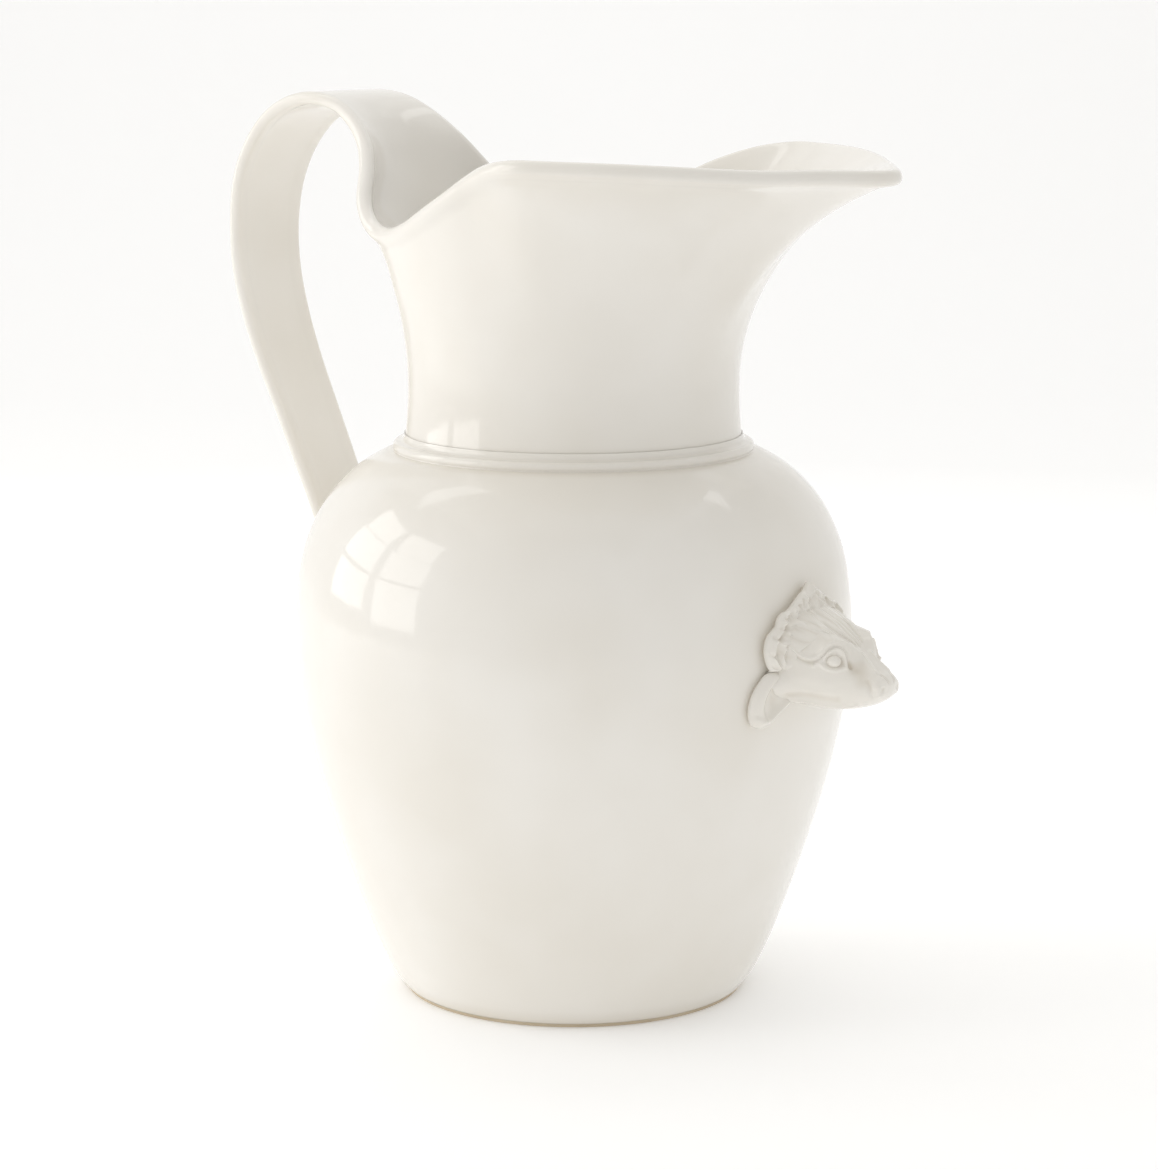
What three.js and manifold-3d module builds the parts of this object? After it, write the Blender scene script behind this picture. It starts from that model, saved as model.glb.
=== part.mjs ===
// Glazed ceramic pitcher with a pouring lip, a strap handle and an animal-head relief.
// Millimetres, +Z up. The origin is on the vessel's axis, in the plane the foot stands on.
// The lip and the head point to +X, the handle to -X, and +Y is the pitcher's left side.

import * as THREE from 'three';
import { mergeVertices } from 'three/addons/utils/BufferGeometryUtils.js';
import Module from 'manifold-3d';

const wasm = await Module();
wasm.setup();

// ---- driving dimensions ----------------------------------------------------------------

const gap = 0.3;            // clearance between neighbouring clay parts
const wall = 4.2;           // wall of the belly and of the neck
const segments = 48;        // facets around the turned parts

const footRadius = 57.6;
const footHeight = 3;
const footBevel = 0.8;

const floorHeight = 9;      // top of the floor inside the belly
const shoulderTop = 183.3;  // where the belly ends and the neck stands on it
const neckBase = 56.6;      // outer radius of the neck where it stands on the shoulder
const waistRadius = 55.2;   // narrowest outer radius of the neck
const waistHeight = 205;
const lipShare = 0.15;      // share of the flare that comes in the last turn of the lip

const beadRadius = 60.3;    // outer radius of the thin ring round the neck's foot
const beadHeight = 2.4;

const strapThickness = 4;
const seamHeight = 252.8;    // where the neck's back wall turns into the strap
const seamAngle = 133;      // half of the rim, in degrees, that is free of the strap

const glazeColour = '#efeae0';
const dryClayColour = '#d8cbb4';

// Outer radius of the belly against height, from the foot to the shoulder.
const bellyStations = [
  [58.6, 3.3], [61.4, 5.6], [66.1, 15], [71.9, 30], [77.2, 45], [82, 60], [86.3, 75],
  [89.8, 90], [92.6, 105], [93.7, 121], [92.9, 136], [89.7, 152], [82.6, 166.5],
  [72, 177.5], [61.6, shoulderTop],
];

// The rim, one side of it: azimuth from the lip's tip in degrees, radius and height.
const rimStations = [
  [0, 122.5, 275], [10, 113.2, 275.6], [20, 106, 275.8], [30, 101, 276.8], [40, 97.2, 277.8],
  [50, 93.6, 278.5], [58, 90.6, 278.8], [66, 87, 278.9], [72, 80.5, 277.5], [80, 72.5, 274],
  [90, 67, 268.6], [104, 63, 262.4], [118, 61.8, 257], [127, 62.6, 253.8],
  [seamAngle, 64, seamHeight - gap], [156, 65.6, seamHeight - gap],
  [180, 66.4, seamHeight - gap],
];

// The strap's middle surface: x and z of its edges, half width, x and z of its middle line.
const strapStations = [
  [-43.4, seamHeight, 44, -64.2, seamHeight], [-51, 255.6, 42.5, -65, 256],
  [-56.5, 260.2, 39.5, -66.4, 260.7], [-59.4, 266.4, 36, -69.2, 267],
  [-63.2, 275, 30, -73.4, 276], [-68.6, 283, 24.8, -77, 284], [-76.2, 290, 21.2, -81.4, 290.6],
  [-86, 295.7, 19, -88.4, 295.9], [-98, 298, 17.8, -98, 298], [-109.5, 296, 17.6, -110, 296],
  [-119.6, 290.4, 17.2, -120.4, 290.6], [-128.4, 281, 16.5, -129.2, 281.2],
  [-134.4, 269, 15.9, -135.2, 269], [-137, 254.5, 15.1, -137.8, 254.5],
  [-136.4, 238, 14.8, -137.2, 238], [-132.6, 222, 14.4, -133.4, 222],
  [-126.6, 206, 13.9, -127.4, 206], [-119.2, 190, 13.4, -120, 190],
  [-111.7, 174, 13, -112.5, 174], [-104.4, 158, 12.6, -105.2, 158],
  [-97.3, 142, 12.3, -98, 142], [-90.2, 126, 12, -90.8, 126],
];

// The head, from the belly out to the muzzle: x, half width, top and bottom.
const headStations = [
  [84, 17, 140, 110], [92, 18, 140, 109], [98, 17.6, 139, 108.6], [104, 16.4, 136.6, 108.3],
  [110, 14.2, 132.6, 108.6], [115, 11.2, 128.4, 109.4], [119, 8.8, 125, 110.4],
  [122.2, 7.4, 122.4, 111.5], [124.8, 5.8, 120.8, 112.8], [126.2, 3.2, 119.2, 115],
];

// The curls of the crown on one side: y and z of the centre, radius, and reach off the belly.
const curlStations = [
  [0, 143, 4.5, 7.2], [5.6, 139.8, 4.6, 7], [10.6, 136.6, 4.4, 6.6], [14.6, 132.3, 4.4, 6.2],
  [16.6, 127.2, 4.4, 5.6], [16.2, 122.3, 4, 5],
];

const eyeCentre = new THREE.Vector3(112, 12, 126.4);
const eyeRadii = new THREE.Vector3(2.9, 2, 2.3);
const earCentre = new THREE.Vector3(92.4, 21.9, 111);
const earRadii = new THREE.Vector3(4.2, 4.6, 8.6);
const earTilt = 0.45;

// ---- helpers ---------------------------------------------------------------------------

// Smooth value of one column of a table at x, by cubic pieces between its rows.
function smooth(table, x, column) {
  const last = table.length - 1;
  const at = Math.min(Math.max(x, table[0][0]), table[last][0]);
  let row = 0;
  while (row < last - 1 && at > table[row + 1][0]) row += 1;
  const slope = (k) => {
    const before = table[Math.max(k - 1, 0)];
    const after = table[Math.min(k + 1, last)];
    return (after[column] - before[column]) / (after[0] - before[0]);
  };
  const [low, high] = [table[row], table[row + 1]];
  const span = high[0] - low[0];
  const t = (at - low[0]) / span;
  const rise = slope(row) * span;
  const fall = slope(row + 1) * span;
  const step = high[column] - low[column];
  return low[column] + t * rise + t * t * (3 * step - 2 * rise - fall)
    + t * t * t * (rise + fall - 2 * step);
}

// Moves every vertex of a geometry by a rule and keeps only the merged positions.
function shaped(geometry, rule) {
  const spots = geometry.attributes.position;
  const spot = new THREE.Vector3();
  for (let i = 0; i < spots.count; i += 1) {
    spot.fromBufferAttribute(spots, i);
    rule(spot);
    spots.setXYZ(i, spot.x, spot.y, spot.z);
  }
  geometry.deleteAttribute('normal');
  geometry.deleteAttribute('uv');
  return mergeVertices(geometry, 1e-4);
}

// A turned solid from a profile of [radius, height], about the Z axis.
function turned(profile, around = segments) {
  const points = profile.map(([radius, height]) => new THREE.Vector2(radius, height));
  const geometry = new THREE.LatheGeometry(points, around);
  geometry.rotateX(Math.PI / 2);
  return shaped(geometry, (spot) => spot);
}

function solid(geometry) {
  const positions = geometry.attributes.position.array;
  const mesh = new wasm.Mesh({
    numProp: 3,
    vertProperties: new Float32Array(positions),
    triVerts: new Uint32Array(geometry.index.array),
  });
  return new wasm.Manifold(mesh);
}

function geometryOf(manifold) {
  const mesh = manifold.getMesh();
  const geometry = new THREE.BufferGeometry();
  geometry.setAttribute('position', new THREE.BufferAttribute(mesh.vertProperties, 3));
  geometry.setIndex(new THREE.BufferAttribute(mesh.triVerts, 1));
  return geometry;
}

// An ellipsoid, tilted about the X axis, larger by an amount on every side.
function ellipsoid(centre, radii, tilt, grow, around = 14) {
  const geometry = new THREE.SphereGeometry(1, around, Math.round(around * 0.6));
  geometry.scale(radii.x + grow, radii.y + grow, radii.z + grow);
  geometry.rotateX(tilt);
  geometry.translate(centre.x, centre.y, centre.z);
  return solid(shaped(geometry, (spot) => spot));
}

// ---- belly and foot --------------------------------------------------------------------

const bellyCurve = new THREE.SplineCurve(bellyStations.map(([r, z]) => new THREE.Vector2(r, z)));

// The belly's wall line moved outward by an amount, from the foot up to the shoulder.
function bellyLine(outward, count) {
  const line = [];
  for (let i = 0; i <= count; i += 1) {
    const spot = bellyCurve.getPoint(i / count);
    const along = bellyCurve.getTangent(i / count);
    line.push([spot.x + along.y * outward, spot.y - along.x * outward]);
  }
  return line;
}

// A filled shape of the belly, used to trim what is set against it.
function bellyCutter() {
  const line = bellyLine(gap, 22).slice(1);
  return solid(turned([[0, line[0][1]], ...line, [0, line.at(-1)[1]]]));
}

function vesselBody() {
  const inner = bellyLine(-wall, 16).filter(([, z]) => z > floorHeight + 5).reverse();
  const lip = [neckBase - wall, shoulderTop];
  const corner = [
    [inner.at(-1)[0] - 3, floorHeight + 1.6],
    [inner.at(-1)[0] - 8, floorHeight],
  ];
  return turned([
    [0, footHeight + gap],
    ...bellyLine(0, 22),
    lip,
    ...inner.filter(([, z]) => z < shoulderTop - 4),
    ...corner,
    [0, floorHeight],
  ]);
}

function foot() {
  return turned([
    [0, 0], [footRadius - footBevel, 0], [footRadius, footBevel], [footRadius + 0.4, footHeight],
    [0, footHeight],
  ]);
}

// ---- bead and neck ---------------------------------------------------------------------

function neckBead() {
  const inside = neckBase + gap;
  const middle = shoulderTop + gap + beadHeight / 2;
  const profile = [[inside, middle - beadHeight / 2]];
  for (let i = 0; i <= 5; i += 1) {
    const turn = Math.PI * (i / 5 - 0.5);
    const out = beadRadius - 1.2 + 1.2 * Math.cos(turn);
    profile.push([out, middle + (beadHeight / 2) * Math.sin(turn)]);
  }
  profile.push([inside, middle + beadHeight / 2], profile[0]);
  return turned(profile);
}

// The rim's rows with one mirrored row at each end, so it runs smoothly over both middles.
const rimRows = [
  [-rimStations[1][0], ...rimStations[1].slice(1)],
  ...rimStations,
  [360 - rimStations.at(-2)[0], ...rimStations.at(-2).slice(1)],
];

// Outer face of the neck at an azimuth, for s from 0 at its foot to 1 at its rim.
function neckFace(azimuth, s) {
  const degrees = Math.abs(THREE.MathUtils.radToDeg(azimuth));
  const rimRadius = smooth(rimRows, degrees, 1);
  const rimHeight = smooth(rimRows, degrees, 2);
  const start = shoulderTop + gap;
  const z = start + s * (rimHeight - start);
  if (z < waistHeight) {
    const t = (waistHeight - z) / (waistHeight - start);
    return new THREE.Vector2(waistRadius + (neckBase - waistRadius) * t * t, z);
  }
  const t = (z - waistHeight) / (rimHeight - waistHeight);
  const flare = (1 - lipShare) * t ** 2 + lipShare * t ** 10;
  return new THREE.Vector2(waistRadius + (rimRadius - waistRadius) * flare, z);
}

function neckSpout() {
  const rows = 13;
  const roll = 1.6;
  const profile = [];
  for (let i = 0; i <= rows; i += 1) profile.push([100, i / rows]);
  profile.push([100 - wall / 2, 1.5]);
  for (let i = rows; i >= 0; i -= 1) profile.push([100 - wall, i / rows]);
  profile.push(profile[0]);
  const points = profile.map(([x, y]) => new THREE.Vector2(x, y));
  const geometry = new THREE.LatheGeometry(points, 72);
  return shaped(geometry, (spot) => {
    // The plain ring carries the depth into the wall as its radius and s as its height.
    const azimuth = Math.atan2(-spot.z, spot.x);
    const depth = 100 - Math.hypot(spot.x, spot.z);
    const s = Math.min(spot.y, 1);
    const face = neckFace(azimuth, s);
    const along = neckFace(azimuth, Math.min(s + 0.02, 1));
    along.sub(neckFace(azimuth, Math.min(s + 0.02, 1) - 0.04)).normalize();
    const open = Math.abs(azimuth) < THREE.MathUtils.degToRad(seamAngle - 1);
    const rise = spot.y > 1.2 && open ? roll : 0;
    // At the foot and along the seam the wall is cut level, elsewhere square to its face.
    const level = s < 0.01 || (s > 0.99 && !open);
    const radius = face.x + rise * along.x - depth * (level ? 1 : along.y);
    const z = face.y + rise * along.y + (level ? 0 : depth * along.x);
    spot.set(radius * Math.cos(azimuth), radius * Math.sin(azimuth), z);
  });
}

// ---- strap handle ----------------------------------------------------------------------

const curveOf = (pick) => new THREE.CatmullRomCurve3(strapStations.map(pick), false, 'centripetal');
const strapEdge = curveOf(([x, z, half]) => new THREE.Vector3(x, half, z));
const strapMiddle = curveOf(([, , , x, z]) => new THREE.Vector3(x, 0, z));

// The strap's middle surface: u runs across it from -1 to 1, v along it from the rim down.
function strapSurface(u, v) {
  const edge = strapEdge.getPoint(v);
  const middle = strapMiddle.getPoint(v);
  const bow = 1 - u * u;
  return new THREE.Vector3(
    edge.x + (middle.x - edge.x) * bow,
    edge.y * u,
    edge.z + (middle.z - edge.z) * bow,
  );
}

function strapHandle(cutter) {
  const geometry = new THREE.BoxGeometry(2, 1, 1, 8, 46, 1);
  const band = shaped(geometry, (spot) => {
    const u = spot.x;
    const v = 0.5 - spot.y;
    const side = spot.z * 2;
    const step = 0.004;
    const across = strapSurface(u + step, v).sub(strapSurface(u - step, v));
    const down = strapSurface(u, Math.min(v + step, 1)).sub(strapSurface(u, Math.max(v - step, 0)));
    const normal = across.cross(down).normalize();
    if (v < 1e-6) normal.setZ(0).normalize();
    const thin = 1 - 0.35 * Math.abs(u) ** 6;
    spot.copy(strapSurface(u, v)).addScaledVector(normal, side * strapThickness * 0.5 * thin);
  });
  const whole = solid(band);
  const upright = whole.volume() > 0 ? whole : solid(flipped(band));
  return geometryOf(upright.subtract(cutter));
}

function flipped(geometry) {
  const index = geometry.index.array;
  for (let i = 0; i < index.length; i += 3) {
    [index[i + 1], index[i + 2]] = [index[i + 2], index[i + 1]];
  }
  return geometry;
}

// ---- animal head -----------------------------------------------------------------------

// The head without hair and ears, a run of rounded sections closing at the muzzle.
function headBlank(grow) {
  const around = 22;
  const rows = 15;
  const first = headStations[0][0];
  const last = headStations.at(-1)[0];
  const points = [new THREE.Vector2(0, 0)];
  for (let i = 0; i <= rows; i += 1) points.push(new THREE.Vector2(1, i / rows));
  points.push(new THREE.Vector2(0, 1));
  const geometry = new THREE.LatheGeometry(points, around);
  return solid(shaped(geometry, (spot) => {
    const x = first + spot.y * (last - first);
    const half = smooth(headStations, x, 1) + grow;
    const top = smooth(headStations, x, 2) + grow;
    const bottom = smooth(headStations, x, 3) - grow;
    const height = (top - bottom) / 2;
    const [across, up] = [spot.x, -spot.z];
    const cheek = 1 + 0.12 * up - 0.2 * Math.max(-up, 0);
    spot.set(x + (spot.y > 0.999 ? grow : 0), across * half * cheek, (top + bottom) / 2 + up * height);
  }));
}

// The crown of curls, a scalloped row on the belly with a forelock over the brow.
function curls(grow) {
  let crown = null;
  const put = (centre, radii, tilt) => {
    const curl = ellipsoid(centre, radii, tilt, grow, 12);
    crown = crown === null ? curl : crown.add(curl);
  };
  for (const side of [-1, 1]) {
    for (const [y, z, radius, reach] of curlStations) {
      if (y === 0 && side > 0) continue;
      const back = 92.4 - (y * y) / 190;
      put(new THREE.Vector3(back, side * y, z), new THREE.Vector3(reach, radius, radius), 0);
    }
    put(new THREE.Vector3(101.5, side * 4.6, 137), new THREE.Vector3(8, 3.4, 3.4), 0);
  }
  put(new THREE.Vector3(102.5, 0, 136.8), new THREE.Vector3(9, 3.4, 3.6), 0);
  return crown;
}

function ear(side, grow) {
  const centre = earCentre.clone().setY(earCentre.y * side);
  return ellipsoid(centre, earRadii, earTilt * side, grow, 16);
}

function eye(side, grow) {
  return ellipsoid(eyeCentre.clone().setY(eyeCentre.y * side), eyeRadii, 0, grow, 12);
}

// ---- assembly --------------------------------------------------------------------------

const pitcher = new THREE.Group();

function addNode(name, geometry, colour = glazeColour, roughness = 0.12) {
  const material = new THREE.MeshStandardMaterial({ color: colour, roughness, metalness: 0 });
  const mesh = new THREE.Mesh(geometry, material);
  mesh.name = name;
  pitcher.add(mesh);
}

const cutter = bellyCutter();
const eyeSockets = eye(-1, gap).add(eye(1, gap));
const mask = headBlank(0).subtract(cutter).subtract(eyeSockets);
const crown = curls(0).subtract(headBlank(gap)).subtract(cutter);

addNode('foot', foot(), dryClayColour, 0.85);
addNode('vessel_body', vesselBody());
addNode('neck_bead', neckBead());
addNode('neck_spout', neckSpout());
addNode('strap_handle', strapHandle(cutter));
addNode('head_mask', geometryOf(mask));
addNode('hair_crown', geometryOf(crown));
for (const [name, side] of [['left', 1], ['right', -1]]) {
  const trimmed = ear(side, 0).subtract(headBlank(gap)).subtract(curls(gap)).subtract(cutter);
  addNode(`ear_${name}`, geometryOf(trimmed));
  addNode(`eye_${name}`, geometryOf(eye(side, 0)));
}

export default pitcher;
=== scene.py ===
import math

import bpy
import numpy as np
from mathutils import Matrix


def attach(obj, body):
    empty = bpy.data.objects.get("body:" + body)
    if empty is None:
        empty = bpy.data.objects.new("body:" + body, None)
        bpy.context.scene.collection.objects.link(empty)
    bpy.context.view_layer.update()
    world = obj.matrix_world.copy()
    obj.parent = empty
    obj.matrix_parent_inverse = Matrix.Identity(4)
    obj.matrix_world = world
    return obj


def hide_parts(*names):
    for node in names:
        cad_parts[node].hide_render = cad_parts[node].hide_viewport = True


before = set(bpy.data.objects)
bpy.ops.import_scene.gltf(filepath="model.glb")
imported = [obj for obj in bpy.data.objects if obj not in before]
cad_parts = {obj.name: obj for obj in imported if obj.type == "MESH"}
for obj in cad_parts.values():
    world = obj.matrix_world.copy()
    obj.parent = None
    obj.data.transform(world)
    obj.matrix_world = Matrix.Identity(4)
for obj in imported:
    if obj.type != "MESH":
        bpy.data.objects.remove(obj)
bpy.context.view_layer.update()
mm = 0.001            # every table below is in millimetres, every mesh in metres


def through(stations, at):
    # smooth line through rows [place, value, ...]: a cubic between rows, with slopes taken
    # across each row's two neighbours; returns one row of values for each place asked
    table = np.asarray(stations, float)
    place, value = table[:, 0], table[:, 1:]
    at = np.clip(np.asarray(at, float), place[0], place[-1])
    slope = np.gradient(value, place, axis=0)
    k = np.clip(np.searchsorted(place, at, side="right") - 1, 0, len(place) - 2)
    span = place[k + 1] - place[k]
    t = ((at - place[k]) / span)[..., None]
    span = span[..., None]
    low, high = value[k], value[k + 1]
    rise, fall = slope[k] * span, slope[k + 1] * span
    return (low + t * rise + t**2 * (3 * (high - low) - 2 * rise - fall)
            + t**3 * (rise + fall - 2 * (high - low)))


def alongLine(points, count):
    # points of a drawn line spread again at equal steps on a smooth curve through them
    points = np.asarray(points, float)
    step = np.linalg.norm(np.diff(points, axis=0), axis=1)
    place = np.concatenate([[0], np.cumsum(step)])
    fine = through(np.column_stack([place, points]), np.linspace(0, place[-1], 900))
    run = np.concatenate([[0], np.cumsum(np.linalg.norm(np.diff(fine, axis=0), axis=1))])
    want = np.linspace(0, run[-1], count)
    return np.column_stack([np.interp(want, run, fine[:, c]) for c in range(points.shape[1])])


def quarterRound(share):
    # rises from 0 to 1 as a quarter of a circle, steepest at its start
    return np.sqrt(1 - (1 - np.clip(share, 0, 1)) ** 2)


def softStep(low, high, value):
    # 0 below low, 1 above high, an s-curve between
    t = np.clip((value - low) / (high - low), 0, 1)
    return t * t * (3 - 2 * t)


def bell(value, middle, halfWidth):
    # 1 at the middle, falling away on both sides as a bell curve
    return np.exp(-((value - middle) / halfWidth) ** 2)


def gridFaces(rows, columns, wrap):
    # quads of a grid stored row by row, joined round its columns when wrap is true
    r, c = np.meshgrid(np.arange(rows - 1), np.arange(columns if wrap else columns - 1),
                       indexing="ij")
    right = (c + 1) % columns
    quads = [r * columns + c, r * columns + right, (r + 1) * columns + right, (r + 1) * columns + c]
    return np.stack(quads, axis=-1).reshape(-1, 4)


def matched(strip, quads):
    # turns a strip's faces round if its first edge runs the same way as in the sheet beside it
    after = np.roll(quads, -1, axis=1)
    sameWay = (quads == strip[0, 0]) & (after == strip[0, 1])
    return strip[:, ::-1] if sameWay.any() else strip


def cornerNormals(points, quads):
    # at every vertex, the mean of its faces' normals weighted by their size
    a, b, c, d = (points[quads[:, k]] for k in range(4))
    face = np.cross(c - a, d - b)
    normal = np.zeros_like(points)
    for k in range(4):
        np.add.at(normal, quads[:, k], face)
    return normal / np.maximum(np.linalg.norm(normal, axis=1, keepdims=True), 1e-12)


def addPiece(name, points, faces, material, replaced, pooling=None):
    # a mesh in metres from points in millimetres and a list of face arrays (quads, triangles),
    # standing for CAD nodes on the one body
    mesh = bpy.data.meshes.new(name)
    mesh.from_pydata((points * mm).tolist(), [], sum((part.tolist() for part in faces), []))
    mesh.update()
    mesh.polygons.foreach_set("use_smooth", np.ones(len(mesh.polygons), bool))
    # an optional share per vertex of darker glaze: pooled glaze and painted shade
    if pooling is not None:
        layer = mesh.attributes.new("pooling", "FLOAT", "POINT")
        layer.data.foreach_set("value", np.asarray(pooling, np.float32))
    mesh.materials.append(material)
    piece = bpy.data.objects.new(name, mesh)
    bpy.context.scene.collection.objects.link(piece)
    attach(piece, "root")
    if replaced:
        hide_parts(*replaced)
    print(f"{name}: {len(points)} vertices, {len(mesh.polygons)} faces")
    return piece


def spun(profile, around):
    # a profile of [radius, height] carried round the Z axis; ends on the axis close as fans
    angle = np.linspace(0, 2 * math.pi, around, endpoint=False)
    radius, height = profile[:, 0], profile[:, 1]
    ring = np.stack([radius[:, None] * np.cos(angle), radius[:, None] * np.sin(angle),
                     np.repeat(height[:, None], around, axis=1)], axis=-1)
    return ring.reshape(-1, 3), gridFaces(len(profile), around, True)


def closedSpun(profile, around):
    # spun, for a profile whose two ends lie on the axis: each end becomes one pole vertex
    body, quads = spun(profile[1:-1], around)
    count = len(body)
    poles = np.array([[0, 0, profile[0, 1]], [0, 0, profile[-1, 1]]])
    c = np.arange(around)
    right = (c + 1) % around
    last = (len(profile) - 3) * around
    low = np.stack([np.full(around, count), right, c], axis=1)
    high = np.stack([np.full(around, count + 1), last + c, last + right], axis=1)
    return np.vstack([body, poles]), [quads, low, high]


def linear(hexColour):
    # sRGB hex to the linear colour that shaders take
    part = np.array([int(hexColour[k:k + 2], 16) / 255 for k in (1, 3, 5)])
    lin = np.where(part <= 0.04045, part / 12.92, ((part + 0.055) / 1.055) ** 2.4)
    return (*[float(v) for v in lin], 1.0)


def addNode(tree, kind, settings=None, **links):
    # one node, its settings by socket or attribute name, and links from other sockets
    node = tree.nodes.new(kind)
    for key, value in (settings or {}).items():
        if key in node.inputs:
            node.inputs[key].default_value = value
        else:
            setattr(node, key, value)
    for key, source in links.items():
        index = key.replace("_", " ")
        socket = node.inputs[int(index[2:])] if index.startswith("in") and index[2:].isdigit() \
            else node.inputs[index]
        tree.links.new(source, socket)
    return node


def startMaterial(name):
    material = bpy.data.materials.new(name)
    material.use_nodes = True
    tree = material.node_tree
    tree.nodes.clear()
    output = tree.nodes.new("ShaderNodeOutputMaterial")
    return material, tree, output


glazeLook = {
    "thin": "#f1eee8",       # where the glaze is at its usual depth
    "warm": "#ece8e0",       # cloudier patches a few centimetres across
    "pooledAndShaded": "#d9d1c3",     # darker glaze in hollows and creases: pooled glaze and painted shade
    "pinhole": "#cdc5b8",
    "cloud": 55,             # mm across one patch
    "wave": 16,              # mm from crest to crest of the poured surface
    "orangePeel": 1.8,       # mm, the fine unevenness of dipped glaze
    "pinholeCell": 22,       # mm between the places where a pinhole may be
    "pinholeFewness": 0.85,  # share of those places that stay clear, roughly
    "roughness": 0.07,
    "ior": 1.52,
}


def warmWhiteGlaze():
    # tin-white earthenware glaze, dipped and fired glossy: a glassy skin with slow waves that
    # bend reflections, faint warm clouds, pooled glaze and painted shade in hollows, and a few pinholes
    look = glazeLook
    material, tree, output = startMaterial("warmWhiteGlaze")
    place = addNode(tree, "ShaderNodeTexCoord").outputs["Object"]
    cloud = addNode(tree, "ShaderNodeTexNoise",
                    {"Scale": 1000 / look["cloud"], "Detail": 2.0}, Vector=place)
    spread = addNode(tree, "ShaderNodeMapRange",
                     {"From Min": 0.35, "From Max": 0.65}, Value=cloud.outputs["Fac"])
    base = addNode(tree, "ShaderNodeMix",
                   {"data_type": "RGBA"}, Factor=spread.outputs["Result"])
    base.inputs[6].default_value = linear(look["thin"])
    base.inputs[7].default_value = linear(look["warm"])
    # darker colour by each vertex's share: pooled glaze and painted shade in hollows, creases and joints
    pool = addNode(tree, "ShaderNodeAttribute", {"attribute_name": "pooling"})
    deep = addNode(tree, "ShaderNodeMix", {"data_type": "RGBA"}, Factor=pool.outputs["Fac"])
    tree.links.new(base.outputs[2], deep.inputs[6])
    deep.inputs[7].default_value = linear(look["pooledAndShaded"])
    cells = addNode(tree, "ShaderNodeTexVoronoi",
                    {"Scale": 1000 / look["pinholeCell"]}, Vector=place)
    dot = addNode(tree, "ShaderNodeMapRange", {"From Min": 0.012, "From Max": 0.03,
                  "To Min": 1.0, "To Max": 0.0}, Value=cells.outputs["Distance"])
    rare = addNode(tree, "ShaderNodeMath", {"operation": "GREATER_THAN"}, in0=cells.outputs["Color"])
    rare.inputs[1].default_value = look["pinholeFewness"]
    hole = addNode(tree, "ShaderNodeMath", {"operation": "MULTIPLY"},
                   in0=dot.outputs["Result"], in1=rare.outputs[0])
    colour = addNode(tree, "ShaderNodeMix", {"data_type": "RGBA"}, Factor=hole.outputs[0])
    tree.links.new(deep.outputs[2], colour.inputs[6])
    colour.inputs[7].default_value = linear(look["pinhole"])
    wave = addNode(tree, "ShaderNodeTexNoise",
                   {"Scale": 1000 / look["wave"], "Detail": 1.0}, Vector=place)
    peel = addNode(tree, "ShaderNodeTexNoise",
                   {"Scale": 1000 / look["orangePeel"], "Detail": 1.0}, Vector=place)
    slow = addNode(tree, "ShaderNodeBump", {"Strength": 1.0, "Distance": 0.00011},
                   Height=wave.outputs["Fac"])
    fine = addNode(tree, "ShaderNodeBump", {"Strength": 1.0, "Distance": 0.000002},
                   Height=peel.outputs["Fac"], Normal=slow.outputs["Normal"])
    pit = addNode(tree, "ShaderNodeBump", {"Strength": 1.0, "Distance": 0.00004, "invert": True},
                  Height=hole.outputs[0], Normal=fine.outputs["Normal"])
    gloss = addNode(tree, "ShaderNodeBsdfPrincipled",
                    {"Roughness": look["roughness"], "IOR": look["ior"]},
                    Base_Color=colour.outputs[2], Normal=pit.outputs["Normal"])
    tree.links.new(gloss.outputs[0], output.inputs["Surface"])
    return material


clayLook = {
    "clay": "#d9ccb6",
    "darker": "#c3b398",
    "grain": 0.6,            # mm, the grit of the wiped clay
    "patch": 16.67,          # mm across a paler or darker patch
    "roughness": 0.85,
}


def wipedClay():
    # dry earthenware body where the glaze is wiped off before firing: matt, fine grit
    look = clayLook
    material, tree, output = startMaterial("wipedClay")
    place = addNode(tree, "ShaderNodeTexCoord").outputs["Object"]
    grit = addNode(tree, "ShaderNodeTexNoise",
                   {"Scale": 1000 / look["grain"], "Detail": 3.0}, Vector=place)
    patch = addNode(tree, "ShaderNodeTexNoise",
                    {"Scale": 1000 / look["patch"], "Detail": 3.0}, Vector=place)
    colour = addNode(tree, "ShaderNodeMix", {"data_type": "RGBA"}, Factor=patch.outputs["Fac"])
    colour.inputs[6].default_value = linear(look["clay"])
    colour.inputs[7].default_value = linear(look["darker"])
    bump = addNode(tree, "ShaderNodeBump", {"Strength": 0.8, "Distance": 0.00012},
                   Height=grit.outputs["Fac"])
    dull = addNode(tree, "ShaderNodeBsdfPrincipled", {"Roughness": look["roughness"]},
                   Base_Color=colour.outputs[2], Normal=bump.outputs["Normal"])
    tree.links.new(dull.outputs[0], output.inputs["Surface"])
    return material


glaze = warmWhiteGlaze()
clay = wipedClay()
print("materials ready")


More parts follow.
